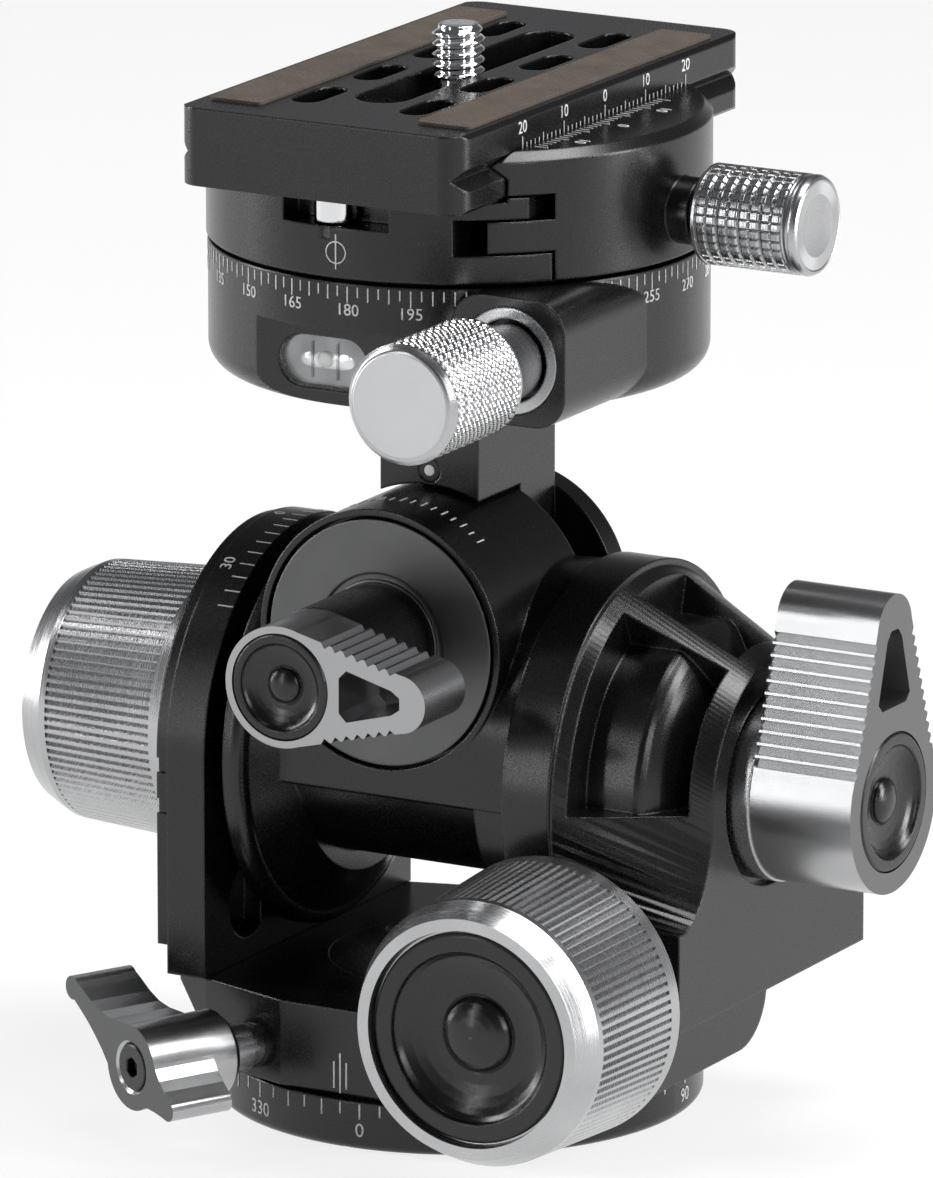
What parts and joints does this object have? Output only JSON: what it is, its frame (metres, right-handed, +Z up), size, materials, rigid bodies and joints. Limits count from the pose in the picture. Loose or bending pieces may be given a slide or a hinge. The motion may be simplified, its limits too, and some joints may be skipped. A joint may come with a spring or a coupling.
{
  "type": "geared tripod head",
  "caption": "Geared tripod head with two worm-driven tilt axes, panning base and top ring, lever locks and a screw clamp holding a dovetail camera plate.",
  "frame": {"origin": "centre of the round base's underside, on the pan axis", "axes": "+Z up along the pan axis, +X right towards the tilt lock lever, -Y front towards the roll lock lever"},
  "size_m": [0.1109, 0.0885, 0.1308],
  "materials": {
    "black_anodised": "satin black anodised",
    "silver_anodised": "satin silver, machined",
    "steel": "machined steel",
    "chrome": "polished",
    "bronze": "machined bronze",
    "polymer": "low-friction polymer",
    "black_cap": "black, slightly glossy",
    "rubber": "ribbed rubber",
    "vial_fluid": "translucent green fluid",
    "clear": "clear window"
  },
  "bodies": {
    "base": {"base_disc": "black_anodised", "thread_insert": "steel", "pan_bearing_ring": "polymer"},
    "turning_frame": {"platform": "black_anodised", "retainer_cap": "black_anodised", "cap_screws": "steel", "left_arm": "black_anodised", "left_cover": "black_anodised", "cover_screws": "steel", "right_arm": "black_anodised", "left_arm_bush": "bronze", "right_arm_bush": "bronze", "front_worm_bushes": "bronze"},
    "base_lock": {"wing_lock_knob": "silver_anodised", "wing_lock_cap": "black_cap", "lock_bolt": "steel"},
    "tilt_drive": {"front_knob": "silver_anodised", "front_knob_cap": "black_cap", "front_worm_shaft": "steel"},
    "tilt_frame": {"cross_housing": "black_anodised", "front_bearing_cap": "black_anodised", "tilt_wheel": "bronze", "roll_bush": "bronze", "left_worm_bushes": "bronze"},
    "roll_drive": {"left_knob": "silver_anodised", "left_knob_cap": "black_cap", "left_worm_shaft": "steel"},
    "tilt_lock": {"right_lever": "silver_anodised", "right_lever_cap": "black_cap", "right_lever_shaft": "steel"},
    "roll_lock": {"front_lever": "silver_anodised", "front_lever_cap": "black_cap", "front_lever_shaft": "steel"},
    "roll_frame": {"stem": "black_anodised", "roll_wheel": "bronze", "roll_shaft": "steel", "rear_disc_cap": "black_anodised", "pan_ring": "black_anodised", "level_vial": "vial_fluid", "vial_window": "clear", "lock_ring": "silver_anodised", "stem_screws": "steel"},
    "pan_lock": {"pan_lock_knob": "silver_anodised", "pan_lock_screw": "steel"},
    "clamp": {"clamp_body": "black_anodised", "clamp_spindle": "steel", "stop_pin_spring": "steel"},
    "stop_pin": {"stop_pin": "chrome"},
    "jaw": {"clamp_jaw": "black_anodised", "jaw_guides": "steel"},
    "clamp_drive": {"clamp_knob": "silver_anodised", "clamp_screw": "steel"},
    "plate": {"quick_plate": "black_anodised", "rubber_strips": "rubber"},
    "camera_screw": {"camera_screw": "chrome"}
  },
  "joints": [
    {"name": "base_pan", "type": "hinge", "parent": "base", "child": "turning_frame", "pos_m": [0, 0, 0], "axis": [0, 0, 1], "continuous": true},
    {"name": "base_lock_turn", "type": "hinge", "parent": "turning_frame", "child": "base_lock", "pos_m": [-0.0134, -0.0268, 0.0102], "axis": [-0.4472, -0.8944, 0], "range_deg": [-150, 30]},
    {"name": "tilt", "type": "hinge", "parent": "turning_frame", "child": "tilt_frame", "pos_m": [0, 0, 0.0433], "axis": [1, 0, 0], "range_deg": [-60, 20]},
    {"name": "tilt_knob_turn", "type": "hinge", "parent": "turning_frame", "child": "tilt_drive", "pos_m": [0.0295, -0.0293, 0.0232], "axis": [0, -1, 0], "range_deg": [-1920, 640]},
    {"name": "tilt_lock_lever", "type": "hinge", "parent": "turning_frame", "child": "tilt_lock", "pos_m": [0.045, 0, 0.0433], "axis": [1, 0, 0], "range_deg": [-60, 60]},
    {"name": "roll", "type": "hinge", "parent": "tilt_frame", "child": "roll_frame", "pos_m": [0, 0, 0.0596], "axis": [0, 1, 0], "range_deg": [-30, 30]},
    {"name": "roll_knob_turn", "type": "hinge", "parent": "tilt_frame", "child": "roll_drive", "pos_m": [-0.0304, 0, 0.0433], "axis": [-1, 0, 0], "range_deg": [-720, 720]},
    {"name": "roll_lock_lever", "type": "hinge", "parent": "tilt_frame", "child": "roll_lock", "pos_m": [0, -0.033, 0.0596], "axis": [0, 1, 0], "range_deg": [-60, 60]},
    {"name": "clamp_pan", "type": "hinge", "parent": "roll_frame", "child": "clamp", "pos_m": [0, 0, 0.1057], "axis": [0, 0, 1], "continuous": true},
    {"name": "pan_lock_turn", "type": "hinge", "parent": "roll_frame", "child": "pan_lock", "pos_m": [0.0215, -0.0271, 0.0978], "axis": [0, -1, 0], "range_deg": [-180, 180]},
    {"name": "stop_pin_press", "type": "slide", "parent": "clamp", "child": "stop_pin", "axis": [0, 0, 1], "range_m": [-0.0016, 0], "stiffness_N_per_m": 300, "springref_m": 0.0008, "deforming": ["stop_pin_spring"]},
    {"name": "jaw_slide", "type": "slide", "parent": "clamp", "child": "jaw", "axis": [1, 0, 0], "range_m": [0, 0.0026]},
    {"name": "clamp_knob_turn", "type": "hinge", "parent": "jaw", "child": "clamp_drive", "pos_m": [0.0328, 0, 0.1115], "axis": [1, 0, 0], "range_deg": [0, 937]},
    {"name": "plate_slide", "type": "slide", "parent": "clamp", "child": "plate", "axis": [0, 1, 0], "range_m": [-0.012, 0.012]},
    {"name": "camera_screw_turn", "type": "hinge", "parent": "plate", "child": "camera_screw", "pos_m": [0, -0.0002, 0.1159], "axis": [0, 0, 1], "continuous": true}
  ],
  "couplings": [
    {"joint": "tilt_knob_turn", "follows": "tilt", "ratio": 32},
    {"joint": "roll_knob_turn", "follows": "roll", "ratio": -24},
    {"joint": "clamp_knob_turn", "follows": "jaw_slide", "rad_per_m": 6283.2}
  ]
}
